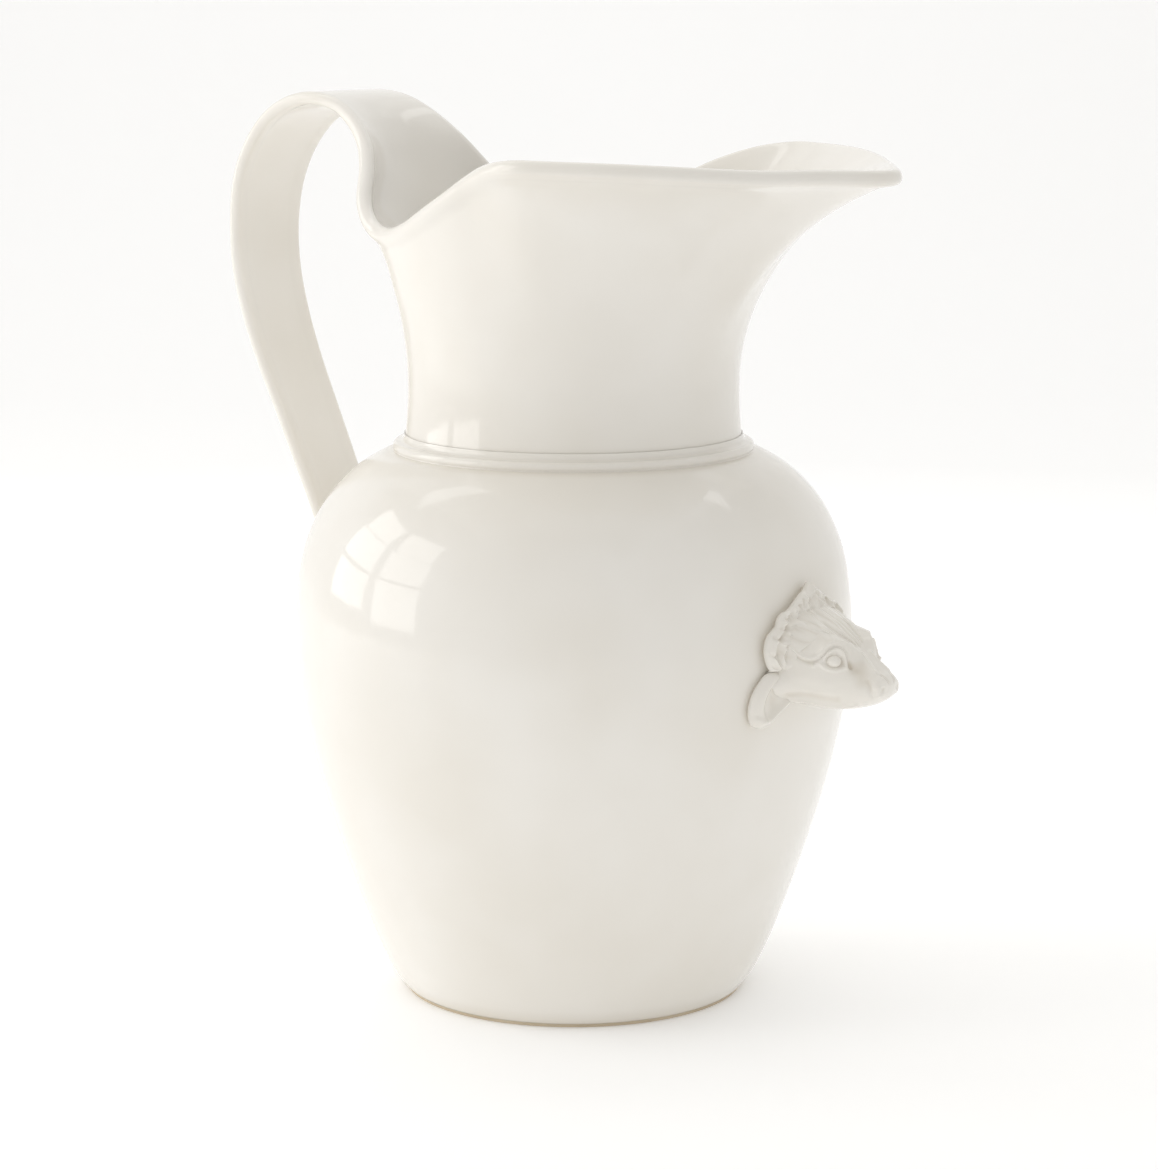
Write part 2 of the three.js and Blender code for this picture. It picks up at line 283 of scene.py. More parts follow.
belly = {
    # outer radius against height, foot to shoulder
    "stations": [
        [57.4, 1.2], [58.5, 2.2], [59.7, 3.8], [61.4, 6.2], [66.1, 15.4], [71.9, 30], [77.2, 45],
        [82, 60], [86.3, 75], [89.8, 90], [92.6, 105], [93.6, 121], [92.8, 136], [89.7, 152],
        [82.6, 166.5], [72, 177.5], [66, 181.2], [61.4, 183.2], [59, 183.6],
    ],
    "wall": 4.2,
    "floor": 8.6,            # height of the inner floor at the middle
    "insideFrom": 25,        # the inner wall follows the outer one between these heights
    "insideTo": 179.6,
    # radius and height of the top edge under the neck, and of the recess over the foot disc
    "topEdge": [[58.2, 184.4]],
    "topInside": [[52.4, 184.4], [52.8, 183.2], [55.2, 181.8]],
    "recess": [[0, 1.4], [30, 1.4], [55.6, 1.1]],
    # the round inner corner, from the inner wall's lower end: steps in, then heights
    "cornerIn": [2.6, 8.5, 18],
    "cornerDrop": 8,
    "around": 288,
    "crease": [183.4, 0.9],  # height and half width of the darker line under the ring: pooled glaze and painted shade
    "outside": 57,           # only beyond this radius
    "creasePooling": 0.4,
    "footPooling": 0.35,
}

bellyOutline = alongLine(belly["stations"], 260)


def bellyRadius(height):
    # outer radius of the belly at a height
    return np.interp(height, bellyOutline[:, 1], bellyOutline[:, 0])


def bellyShell():
    # outer line, then the same line moved in by the wall, a round corner and the floor
    outer = bellyOutline
    way = np.gradient(outer, axis=0)
    way /= np.linalg.norm(way, axis=1, keepdims=True)
    inner = outer + belly["wall"] * np.column_stack([-way[:, 1], way[:, 0]])
    keep = (inner[:, 1] > belly["insideFrom"]) & (inner[:, 1] < belly["insideTo"])
    inner = inner[keep][::-1]
    top = alongLine(belly["topInside"] + [inner[0].tolist()], 16)[:-1]
    edge, height = inner[-1]
    first, second, third = edge - np.array(belly["cornerIn"])
    floor = belly["floor"]
    corner = alongLine([[edge, height], [first, height - belly["cornerDrop"]],
                        [second, floor + 2.6], [third, floor + 0.4], [12, floor], [0, floor]], 40)[1:]
    under = alongLine(belly["recess"], 12)[:-1]
    profile = np.vstack([under, outer, belly["topEdge"], top, inner, corner])
    points, faces = closedSpun(profile, belly["around"])
    height, radius = points[:, 2], np.hypot(points[:, 0], points[:, 1])
    # darker under the ring and towards the foot: pooled glaze and painted shade
    crease = bell(height, *belly["crease"]) * (radius > belly["outside"])
    foot = softStep(7, 1.5, height)
    pooling = crease * belly["creasePooling"] + foot * belly["footPooling"]
    return addPiece("bellyShell", points, faces, glaze, ["vessel_body"],
                    np.clip(pooling, 0, 1))


bellyShell()


footDisc = {
    "radius": 57.2,
    "depth": 1.6,
    "ringStep": 2.6,         # spacing of the turning lines
    "ringDepth": 0.05,
    "round": 0.7,            # radius of its wiped edge
    "around": 192,
}


def dryFoot():
    # a flat disc: its underside carries shallow turning rings, its edge is wiped round
    outer, depth, soft = footDisc["radius"], footDisc["depth"], footDisc["round"]
    radius = np.linspace(0, outer - soft, 180)
    ring = footDisc["ringDepth"] * (0.5 - 0.5 * np.cos(2 * math.pi * radius / footDisc["ringStep"]))
    under = np.column_stack([radius, ring])
    turn = np.linspace(0.1, 1, 9) * math.pi / 2
    edge = np.column_stack([outer - soft + soft * np.sin(turn), soft - soft * np.cos(turn)])
    side = [[outer + 0.1, depth - 0.2], [outer - 0.4, depth], [0, depth]]
    points, faces = closedSpun(np.vstack([under, edge, side]), footDisc["around"])
    return addPiece("dryFoot", points, faces, clay, ["foot"])


dryFoot()


bead = {
    # cross-section from the neck's face, over the round ring, to the shoulder
    "section": [
        [56.45, 189], [56.7, 187.9], [57.3, 187], [58.3, 186.55], [59.2, 186.35], [59.9, 185.8],
        [60.25, 185], [60.25, 184.3], [60.05, 183.75], [60.2, 183.35], [60.9, 183.1], [62, 182.8],
    ],
    "back": [[56, 187.4], [56, 182], [60.6, 182]],   # the hidden side, inside the wall
    "rows": 44,
    "around": 288,
    "upperCrease": [186.9, 0.5],     # height and half width of a darker line: pooled glaze and painted shade
    "lowerCrease": [183.55, 0.35],
    "pooling": 0.08,
}


def beadRing():
    # the drawn section, closed inside the wall, carried round the axis
    profile = np.vstack([alongLine(bead["section"][::-1], bead["rows"]), bead["back"]])
    points, faces = spun(profile, bead["around"])
    c = np.arange(bead["around"])
    right = (c + 1) % bead["around"]
    top = (len(profile) - 1) * bead["around"]
    closing = np.stack([top + c, top + right, right, c], axis=1)
    height = points[:, 2]
    # darker lines in the ring's two creases: pooled glaze and painted shade
    crease = bell(height, *bead["upperCrease"]) + bell(height, *bead["lowerCrease"])
    return addPiece("beadRing", points, [faces, closing], glaze, ["neck_bead"],
                    np.clip(crease * bead["pooling"], 0, 1))


beadRing()


neck = {
    "base": 183.6,
    "baseRadius": 56.7,
    "waist": 205,
    "waistRadius": 55.2,
    "wall": 4.2,
    "lipShare": 0.15,        # share of the flare that comes in the lip's last turn
    "seam": 252.6,           # height where the back wall becomes the strap
    "seamAngle": 133,
    # half of the rim: degrees from the lip's tip, radius, height
    "rim": [
        [0, 122.5, 275.4], [10, 113.2, 276], [20, 106, 276.2], [30, 101, 277.2], [40, 97.2, 278.2],
        [50, 93.6, 278.9], [58, 90.6, 279.2], [66, 87, 279.3], [72, 80.5, 278], [80, 72.5, 274.4],
        [90, 67, 269], [104, 63, 262.8], [118, 61.8, 257.2], [127, 62.6, 253.8],
        [133, 64, 252.6], [156, 65.6, 252.6], [180, 66.4, 252.6],
    ],
    "rows": 52,
    "frontColumns": 130,
}

strap = {
    # middle surface: x and z of the edge, half width, x and z of the middle line
    "stations": [
        [-43.4, 252.6, 44, -64.2, 252.6], [-51, 255.6, 42.5, -65.2, 256.6],
        [-56.5, 260.2, 39.5, -66.8, 261.4], [-59.4, 266.4, 36, -69.4, 267.4],
        [-63.2, 275, 30, -73.4, 276], [-68.6, 283, 24.8, -77, 284], [-76.2, 290, 21.2, -81.4, 290.6],
        [-86, 295.6, 19, -88.4, 295.8], [-98, 297.8, 17.8, -98, 297.8], [-109.5, 295.9, 17.6, -110, 295.9],
        [-119.6, 290.4, 17.2, -120.4, 290.6], [-128.4, 281, 16.5, -129.2, 281.2],
        [-134.4, 269, 15.9, -135.2, 269], [-136.9, 254.5, 15.1, -137.7, 254.5],
        [-136.4, 238, 14.8, -137.2, 238], [-132.6, 222, 14.4, -133.4, 222],
        [-126.6, 206, 13.9, -127.4, 206], [-119.2, 190, 13.4, -120, 190],
        [-111.7, 174, 13, -112.5, 174], [-104.4, 158, 12.6, -105.2, 158],
        [-97.3, 142, 12.3, -98, 142], [-94.4, 135.6, 11.6, -95, 135.6],
        [-92.1, 130.4, 9.6, -92.7, 130.4], [-90.6, 126, 6, -91, 126],
    ],
    "thickness": 4,
    "columns": 41,
    "rows": 150,
    "lipRoll": 0.9,          # how far the rolled edge stands out from the outer face
    "lipWidth": 3.6,
    "embed": 3.2,            # how far its end goes into the belly's wall at most
}


def mirroredRim():
    # the half rim with its rows mirrored past the tip and past the back
    rows = np.array(neck["rim"], float)
    before = rows[1:4][::-1] * [-1, 1, 1]
    after = rows[-4:-1][::-1] * [-1, 1, 1] + [360, 0, 0]
    return np.vstack([before, rows, after])


def neckFace(azimuth, s):
    # outer face: a slight taper up to the waist, then the flare, mostly with the square of
    # the height, with a small share saved for the lip; the back sector keeps no lip share
    degrees = np.abs(np.degrees(azimuth))
    rim = through(mirroredRim(), degrees)
    rimRadius, rimHeight = rim[..., 0], rim[..., 1]
    z = neck["base"] + s * (rimHeight - neck["base"])
    low = np.clip((neck["waist"] - z) / (neck["waist"] - neck["base"]), 0, 1)
    high = np.clip((z - neck["waist"]) / (rimHeight - neck["waist"]), 0, 1)
    share = neck["lipShare"] * (1 - softStep(95, 130, degrees))
    flare = (1 - share) * high**2 + share * high**10
    radius = (neck["waistRadius"] + (neck["baseRadius"] - neck["waistRadius"]) * low**2
              + (rimRadius - neck["waistRadius"]) * flare)
    return radius, z


def neckColumns():
    # azimuths at equal steps along the free rim, then at equal steps across the strap's root
    edge = math.radians(neck["seamAngle"])
    fine = np.linspace(-edge, edge, 4000)
    radius, z = neckFace(fine, np.ones_like(fine))
    rim = np.column_stack([radius * np.cos(fine), radius * np.sin(fine), z])
    run = np.concatenate([[0], np.cumsum(np.linalg.norm(np.diff(rim, axis=0), axis=1))])
    front = np.interp(np.linspace(0, run[-1], neck["frontColumns"]), run, fine)
    back = np.linspace(edge, 2 * math.pi - edge, strap["columns"])[1:-1]
    return np.concatenate([front, back])


def openSurface():
    # the middle surface of neck and strap as one sheet: a ring of columns up to the rim, and
    # the strap's rows growing on from the columns at the back
    azimuth = neckColumns()
    turned = (azimuth + math.pi) % (2 * math.pi) - math.pi
    s = np.linspace(0, 1, neck["rows"]) ** 0.92
    columns = len(azimuth)
    radius, z = neckFace(turned[None, :] + 0 * s[:, None], s[:, None] + 0 * turned[None, :])
    dr, dz = np.gradient(radius, axis=0), np.gradient(z, axis=0)
    size = np.hypot(dr, dz)
    half = neck["wall"] / 2
    radius, z = radius - half * dz / size, z + half * dr / size
    ring = np.stack([radius * np.cos(azimuth), radius * np.sin(azimuth), z], axis=-1)
    # level the seam row, so that the strap starts from a flat cut
    lift = (neck["seam"] - ring[-1, :, 2]) * softStep(126, 136, np.abs(np.degrees(turned)))
    ring[:, :, 2] += lift * softStep(0.6, 1, s)[:, None]

    root = np.concatenate([[neck["frontColumns"] - 1],
                           np.arange(neck["frontColumns"], columns), [0]])
    start = ring[-1, root]
    table = np.array(strap["stations"], float)
    u = start[:, 1] / abs(start[0, 1])
    path = alongLine(table, strap["rows"] + 1)
    edgeX, edgeZ, wide, midX, midZ = (path[:, k][:, None] for k in range(5))
    bow = 1 - u[None, :] ** 2
    sheet = np.stack([edgeX + (midX - edgeX) * bow, wide * u[None, :],
                      edgeZ + (midZ - edgeZ) * bow], axis=-1)
    run = np.concatenate([[0], np.cumsum(np.linalg.norm(np.diff(sheet[:, len(u) // 2], axis=0),
                                                        axis=1))])
    fade = (1 - softStep(0, 26, run))[:, None, None]
    sheet = sheet + (start - sheet[0])[None] * fade

    points = np.vstack([ring.reshape(-1, 3), sheet[1:].reshape(-1, 3)])
    neckQuads = gridFaces(neck["rows"], columns, True)
    first = ring.shape[0] * columns
    rowIds = np.vstack([(neck["rows"] - 1) * columns + root,
                        first + np.arange(strap["rows"] * len(u)).reshape(strap["rows"], len(u))])
    a, b = rowIds[:-1, :-1], rowIds[:-1, 1:]
    d, c = rowIds[1:, :-1], rowIds[1:, 1:]
    strapQuads = np.stack([a, b, c, d], axis=-1).reshape(-1, 4)
    quads = np.vstack([neckQuads, strapQuads])
    rimLoop = np.concatenate([
        (neck["rows"] - 1) * columns + np.arange(0, neck["frontColumns"]),
        rowIds[1:, 0], rowIds[-1, 1:-1], rowIds[1:, -1][::-1]])
    baseLoop = np.arange(columns)
    points = relaxed(points, quads, rimLoop, neck["seam"])
    return points, quads, rimLoop, baseLoop


def relaxed(points, quads, rimLoop, height):
    # evens out the sheet near the seam: inner points move to the mean of their neighbours,
    # rim points to the mean of the two beside them, most at the seam and fading away from it
    ends = np.vstack([quads[:, [0, 1]], quads[:, [1, 2]], quads[:, [2, 3]], quads[:, [3, 0]]])
    behind = (points[:, 0] < -25) & (points[:, 0] > -84)
    near = (1 - softStep(4, 17, np.abs(points[:, 2] - height))) * behind
    for _ in range(30):
        total = np.zeros_like(points)
        count = np.zeros(len(points))
        for one, other in ((0, 1), (1, 0)):
            np.add.at(total, ends[:, one], points[ends[:, other]])
            np.add.at(count, ends[:, one], 1)
        mean = total / count[:, None]
        rim = points[rimLoop]
        mean[rimLoop] = (np.roll(rim, 1, axis=0) + np.roll(rim, -1, axis=0)) / 2
        points = points + (mean - points) * (0.5 * near)[:, None]
    return points


def neckAndStrap():
    # the sheet is given its wall: outer and inner faces half a wall away along the normals,
    # a half-round edge along the free rim, and a plain strip at the hidden base
    points, quads, rimLoop, baseLoop = openSurface()
    normal = cornerNormals(points, quads)
    outward = points * [1, 1, 0]
    if np.sum(normal[:500] * outward[:500]) < 0:
        normal, quads = -normal, quads[:, ::-1]
    rim = points[rimLoop]
    distance = np.full(len(points), 1e9)
    for start in range(0, len(rim), 40):
        part = rim[start:start + 40]
        gap = np.linalg.norm(points[:, None] - part[None], axis=2).min(axis=1)
        distance = np.minimum(distance, gap)
    onStrap = softStep(-66, -90, points[:, 0])
    half = (neck["wall"] * (1 - onStrap) + strap["thickness"] * onStrap) / 2
    roll = strap["lipRoll"] * np.exp(-(distance / strap["lipWidth"]) ** 4) * (1 - 0.6 * onStrap)
    outer = points + normal * (half + roll)[:, None]
    inner = points - normal * half[:, None]

    tangent = np.roll(rim, -1, axis=0) - np.roll(rim, 1, axis=0)
    tangent /= np.linalg.norm(tangent, axis=1, keepdims=True)
    side = np.cross(tangent, normal[rimLoop])
    centre = np.zeros_like(points)
    count = np.zeros(len(points))
    for k in range(4):
        np.add.at(centre, quads[:, k], points[quads].mean(axis=1))
        np.add.at(count, quads[:, k], 1)
    inward = (centre / count[:, None])[rimLoop] - rim
    flip = np.sign(np.sum(side * inward, axis=1))
    side = -side * flip[:, None]
    steps = 9
    turn = np.linspace(0, math.pi, steps + 1)[1:-1]
    up = np.maximum(np.cos(turn), 0)[:, None] * (half + roll)[rimLoop][None]
    down = np.minimum(np.cos(turn), 0)[:, None] * half[rimLoop][None]
    out = np.sin(turn)[:, None] * half[rimLoop][None]
    edge = rim[None] + (up + down)[..., None] * normal[rimLoop][None] + out[..., None] * side[None]

    total = len(points)
    ids = np.vstack([rimLoop[None], 2 * total + np.arange(edge.shape[0] * len(rim))
                     .reshape(edge.shape[0], len(rim)), rimLoop[None] + total])
    nextIds = np.roll(ids, -1, axis=1)
    strip = np.stack([ids[:-1], nextIds[:-1], nextIds[1:], ids[1:]], axis=-1).reshape(-1, 4)
    baseNext = np.roll(baseLoop, -1)
    bottom = np.stack([baseLoop, baseNext, baseNext + total, baseLoop + total], axis=1)
    allPoints = np.vstack([outer, inner, edge.reshape(-1, 3)])
    strip = matched(strip, quads)
    bottom = matched(bottom, quads)
    faces = [quads, quads[:, ::-1] + total, strip, bottom]

    # the strap's end sinks into the belly's wall and no deeper
    radius = np.hypot(allPoints[:, 0], allPoints[:, 1])
    surface = bellyRadius(allPoints[:, 2])
    height = allPoints[:, 2]
    depth = strap["embed"]
    deep = (surface - radius > depth) & (allPoints[:, 0] < -60) & (height < 178)
    allPoints[:, :2] *= np.where(deep, (surface - depth) / np.maximum(radius, 1), 1)[:, None]

    # darker glaze round the neck's foot and where the strap meets the belly: pooled glaze and painted shade
    # in the joints
    radius = np.hypot(allPoints[:, 0], allPoints[:, 1])
    foot = bell(height, 188, 0.9) * (radius < 60)
    touch = bell(surface - radius, 0, 1.1) * ((allPoints[:, 0] < -80) & (height < 170))
    return addPiece("neckAndStrap", allPoints, faces, glaze, ["neck_spout", "strap_handle"],
                    np.clip(0.35 * foot + 0.6 * touch, 0, 1))


neckAndStrap()


head = {
    # the animal's head from inside the wall to the nose: x, half width, top, bottom
    "stations": [
        [88, 17.4, 140.2, 109.4], [92, 17.8, 140, 109], [98, 17.4, 139, 108.6],
        [104, 16.2, 136.4, 108.3], [110, 14, 132.2, 108.6], [115, 11, 128, 109.4],
        [119, 8.6, 124.9, 110.6], [122.2, 7, 122.4, 112], [124.6, 5.2, 121, 113.7],
        [125.6, 3.2, 119.8, 115.3], [125.95, 1.4, 118.6, 116.8],
    ],
    "squareness": 2.3,       # 2 is an ellipse, more is boxier
    "rows": 230,
    "around": 380,
    "embed": 2.0,            # how far it sits in the belly's wall
    # where the cheek runs out to the ear: how far, how fast it fades, height it starts at
    "flare": 4.6,
    "flareFade": 2.8,
    "flareBase": 2.4,
    # hollows and raised lines on one side, mirrored on the other: height, half width, points
    "strokes": [
        [2.2, 3.5, [[107.5, -10.6, 129.8], [110.6, -8.4, 130.4], [113.2, -6.4, 129.4]]],
        [0.75, 0.8, [[96.6, -16.9, 131.4], [98.3, -16.7, 129.5], [101, -16.6, 127.6], [103.6, -16.1, 126.6],
                     [106.5, -15, 126.7], [108, -13.4, 128.2], [109.2, -10.9, 130.3],
                     [110.8, -8.2, 130.9], [112.6, -6.4, 130]]],
        [-0.75, 0.62, [[98.9, -16.9, 128.3], [102, -16.6, 126.4], [105.2, -15.6, 125.4],
                       [107.8, -14.2, 126], [109.3, -12, 128.6], [110.9, -9.5, 129.4],
                       [112.4, -8.3, 128.8], [114.6, -8.1, 126.4], [116, -8.6, 124]]],
        [0.95, 0.62, [[106.6, -15.2, 124.6], [108.7, -13.7, 126.4], [109.9, -11.7, 128.1],
                      [111.1, -9.9, 128.6], [112.7, -9, 127.8], [114.3, -9.1, 125.8],
                      [115.2, -9.8, 123.9]]],
        [0.6, 0.6, [[108.2, -14.4, 124.9], [110.6, -13.5, 123.5], [113, -12, 123],
                    [114.9, -10.2, 123.7]]],
        [-1.1, 2, [[111, -11.9, 126], [113, -10.8, 125.8]]],
        [-0.9, 1.7, [[116.2, -8.3, 124.6], [117, -7.9, 122.8]]],
        [-0.6, 2, [[118.1, -5.4, 124.6], [119.4, -7, 121.6], [119.6, -7.4, 119.4]]],
        [-0.35, 3.4, [[102.8, -14.6, 131], [105.8, -13.6, 130.1]]],
        [-0.5, 0.8, [[121.6, -7.2, 119.8], [122.5, -7, 117.4], [122.9, -6.4, 115]]],
        [0.6, 1.3, [[124.2, -5.6, 117.6], [124.4, -5.2, 115.4]]],
        [-0.45, 0.7, [[125.3, -4.2, 117.2], [125, -4.4, 116.4]]],
        [-0.35, 0.45, [[123.6, -2.6, 121.4], [125, -2, 120.2], [125.9, -1.6, 119.2]]],
        [0.5, 0.9, [[116.4, -2.4, 127], [119.2, -3, 124.5], [122, -3.6, 121.9]]],
        [0.7, 1.2, [[93, -14, 110.6], [96.5, -12.4, 110.9], [101.6, -12.6, 111.4],
                    [105, -11.8, 111.2], [107.8, -10.4, 110.8], [111.1, -8.5, 110.4],
                    [116.7, -6.9, 111.2]]],
        [-0.6, 1.6, [[97, -15.6, 113.4], [102, -15, 114], [107, -13.4, 114], [112, -10.6, 113.8]]],
        [0.7, 4.2, [[103, -15.6, 119.6], [109, -13, 118.4]]],
        [0.5, 2.0, [[119.2, -6.6, 115.4], [122, -5.6, 115.2]]],
    ],
}


def headRow(x):
    # half width, top and bottom of the head at x
    line = through(head["stations"], x)
    return line[..., 0], line[..., 1], line[..., 2]


def wallFace(y, z, deep):
    # x of the belly's front face at (y, z), moved in by deep
    return np.sqrt(np.maximum((bellyRadius(z) - deep) ** 2 - y**2, 1))


def raised(points, normal, strokes):
    # moves points along their normals: each stroke adds its height times a bell curve of the
    # distance to its line; strokes are mirrored, so the distance is taken at -|y|
    near = points * [1, 0, 1] + np.abs(points[:, 1:2]) * [0, -1, 0]
    lift = np.zeros(len(points))
    for high, wide, line in strokes:
        line = np.array(line, float)
        reach = 3 * wide
        inBox = np.all((near > line.min(0) - reach) & (near < line.max(0) + reach), axis=1)
        dots = alongLine(line, max(6, int(6 * np.ptp(line, axis=0).sum() / wide / 2)))
        gap = np.linalg.norm(near[inBox][:, None] - dots[None], axis=2).min(axis=1)
        lift[inBox] += high * np.exp(-(gap / wide) ** 2)
    return points + normal * lift[:, None], lift


def headMask():
    # rounded sections strung from inside the wall to the nose, then the strokes
    path = alongLine(head["stations"], head["rows"])
    angle = np.linspace(0, 2 * math.pi, head["around"], endpoint=False)
    x, wide, top, low = (path[:, k][:, None] for k in range(4))
    power = 2 / head["squareness"]
    c, s = np.cos(angle)[None], np.sin(angle)[None]
    y = wide * np.sign(c) * np.abs(c) ** power
    z = (top + low) / 2 + (top - low) / 2 * np.sign(s) * np.abs(s) ** power
    start = wallFace(y, z, head["embed"])
    x = np.where(x < 98, start + (x - 88) / 10 * (98 - start), x)
    above = np.maximum(x - wallFace(y, z, 0) - head["flareBase"], 0)
    besideEar = softStep(103.5, 112.5, z) * softStep(123, 116, z) * softStep(8, 15.5, np.abs(y))
    y = y + np.sign(y) * head["flare"] * np.exp(-above / head["flareFade"]) * besideEar
    body = np.stack([x, y, z], axis=-1).reshape(-1, 3)
    quads = gridFaces(head["rows"], head["around"], True)
    normal = cornerNormals(body, quads)
    if np.sum(normal[:, 1] * body[:, 1]) < 0:
        normal, quads = -normal, quads[:, ::-1]
    body, lift = raised(body, normal, head["strokes"])
    count, around = len(body), head["around"]
    a = np.arange(around)
    b = (a + 1) % around
    last = (head["rows"] - 1) * around
    tip = body[last:].mean(axis=0) + [0.1, 0, 0]
    root = body[:around].mean(axis=0)
    front = np.stack([last + a, last + b, np.full(around, count)], axis=1)
    back = np.stack([b, a, np.full(around, count + 1)], axis=1)
    front, back = matched(front, quads), matched(back, quads)
    points = np.vstack([body, tip, root])
    # darker in the hollow strokes and where the head meets the belly: pooled glaze and painted shade
    pool = np.clip(-lift * 0.9, 0, 1)
    offWall = body[:, 0] - wallFace(body[:, 1], body[:, 2], 0)
    pool = np.maximum(pool, bell(offWall, 0, 0.9))
    return addPiece("headMask", points, [quads, front, back], glaze, ["head_mask"],
                    np.concatenate([pool * 0.8, [0, 0]]))


eyeBall = {
    "centre": [110.9, 10.75, 125.55],
    "radius": 2.5,
    "flatter": 0.84,         # height as a share of width
    "around": 48,
}


def eye(side, name, node):
    # a smooth ball seated in the socket
    turn = np.linspace(-math.pi / 2, math.pi / 2, 25)
    profile = np.column_stack([np.cos(turn), np.sin(turn)]) * eyeBall["radius"]
    profile[[0, -1], 0] = 0
    points, faces = closedSpun(profile, eyeBall["around"])
    points = points * [1, 1, eyeBall["flatter"]] + [eyeBall["centre"][0], 0, eyeBall["centre"][2]]
    points[:, 1] += side * eyeBall["centre"][1]
    return addPiece(name, points, faces, glaze, [node], np.zeros(len(points)))


hair = {
    # outline of the curls on the wall and the hairline on the brow, as share, y, z
    "outline": [
        [0, 0, 148], [0.06, -1.6, 146.6], [0.12, -3.2, 145.5], [0.17, -4.9, 144.9],
        [0.22, -6.4, 144], [0.3, -8.7, 142.6], [0.38, -11, 141.1], [0.42, -12.4, 140.4],
        [0.5, -15.3, 139.6], [0.57, -17.3, 137.8], [0.62, -18.2, 136], [0.66, -19.5, 135],
        [0.73, -21.6, 133.4], [0.8, -23, 131], [0.86, -23.5, 128], [0.92, -22.9, 125],
        [0.96, -21.9, 122.8], [1, -20.4, 121.2],
    ],
    "hairline": [
        [0, 0, 128.4], [0.2, -1.3, 128.9], [0.4, -3, 130.1], [0.55, -5.6, 132], [0.66, -9, 132.3],
        [0.75, -12.4, 131.4], [0.83, -15.3, 129.2], [0.92, -16.8, 125.6], [1, -17.2, 121.2],
    ],
    # the curls' edge from its foot in the gap: how far in, height above the wall
    "edge": [
        [2.3, -1.0], [2.2, 0], [1.9, 0.7], [1.2, 1.3], [0.5, 1.9], [0.1, 2.5], [0, 3.1],
    ],
    "edgeRows": 34,
    "crown": 1.3,            # height that the round edge gains above its outermost line
    "lift": 1.5,             # thickness over the brow
    "taper": 3.2,            # width of the thin border at the hairline
    "columns": 520,
    "rows": 170,
    # a rolled ridge and a groove that follow the outline: distance in, height, half width
    "rolls": [[1.5, 0.3, 0.8], [3.3, -0.5, 0.6], [4.7, 0.35, 0.8]],
    # cuts across the edge that part it into curls: their shares of the outline
    "notches": [0.2, 0.3, 0.42, 0.52, 0.62, 0.73, 0.86, 0.94],
    "notchDepth": 0.75,
    "notchWidth": 0.55,
    "notchReach": 4.4,
    "notchSweep": 0.014,     # how far a cut leans for each millimetre inward, as share
    "outlineLength": 38,
    # locks that stand up or grooves that go in: height, half width, then y, z points
    "locks": [
        [0.8, 0.6, [[-4.5, 144.4], [-7, 143.2], [-8.6, 141.8], [-9, 140.6]]],
        [0.7, 0.6, [[-4.5, 143.6], [-4.2, 142], [-5.9, 140.2], [-7.2, 139.9]]],
        [0.9, 0.65, [[-10.9, 140.3], [-13.1, 139.9], [-15.6, 138.7], [-16.1, 137.1],
                     [-14.6, 136.3], [-12.2, 136.6], [-10.4, 138.6]]],
        [0.9, 0.7, [[-17.3, 134.8], [-18.9, 133.7], [-20.3, 131.9], [-18.3, 130.6],
                    [-16.3, 131.2], [-15.9, 133]]],
        [0.9, 0.75, [[-20.9, 131.3], [-21.8, 129.1], [-21.7, 126.3], [-20.5, 124.1],
                     [-18.6, 122.2]]],
        [0.7, 0.7, [[-18, 128.9], [-18.9, 126.1], [-18.3, 123.9]]],
        [0.9, 0.95, [[-0.4, 146.8], [-0.6, 144.4], [-0.9, 140.5], [-2.6, 136.6], [-3.4, 132.8],
                     [-2.8, 130]]],
        [-0.6, 0.5, [[-2.6, 142.5], [-3.3, 138.8], [-5.6, 136], [-5.5, 133.5], [-4.6, 131.6]]],
        [0.6, 0.55, [[-6.4, 139], [-8.5, 136.5], [-8.4, 134.5], [-6.4, 132.6]]],
        [-0.45, 0.45, [[-10.6, 136.2], [-11, 134.9], [-9, 133.9]]],
        [0.9, 0.6, [[5.6, 143.6], [8.6, 143.2], [10.2, 141.2], [9.2, 139], [6.6, 139], [5.4, 141.2]]],
        [0.9, 0.6, [[12, 140], [15, 139.8], [16.8, 137.6], [15.6, 135.4], [12.8, 135.6],
                    [11.8, 138]]],
        [0.9, 0.7, [[17.3, 134.8], [18.9, 133.7], [20.3, 131.9], [18.3, 130.6], [16.3, 131.2],
                    [15.9, 133]]],
        [0.9, 0.75, [[20.9, 131.3], [21.8, 129.1], [21.7, 126.3], [20.5, 124.1], [18.6, 122.2]]],
        [0.7, 0.7, [[18, 128.9], [18.9, 126.1], [18.3, 123.9]]],
        [0.8, 0.8, [[2, 145.4], [2.2, 141.6], [3.2, 137.6], [3.8, 133.6], [2.8, 130]]],
    ],
    # small hollows inside the curls: depth, half width, y, z
    "hollows": [
        [1.2, 0.75, -7.9, 140.9], [1.2, 0.7, -5.3, 138.9], [1.1, 0.8, -15.2, 135.4],
        [0.9, 0.6, -13.4, 134.7], [1.0, 0.9, -13.4, 138.2], [1.0, 0.9, -18.2, 132.3],
        [0.7, 0.7, -19.9, 127.6], [1.5, 1.2, 7.9, 141.2], [1.5, 1.2, 14.3, 137.7],
        [1.0, 0.9, 18.2, 132.3], [0.7, 0.7, 19.9, 127.6],
    ],
    "strand": 0.48,          # depth of the combed lines
    "strandCount": 7.5,      # on each side
    "round": 1.9,            # width over which the edge turns round
    "swell": 1.6,            # height that the curls gain further in
    "soft": 1.6,             # softness of the joint between the curls and the brow's cover
    "pooling": 0.85,
}


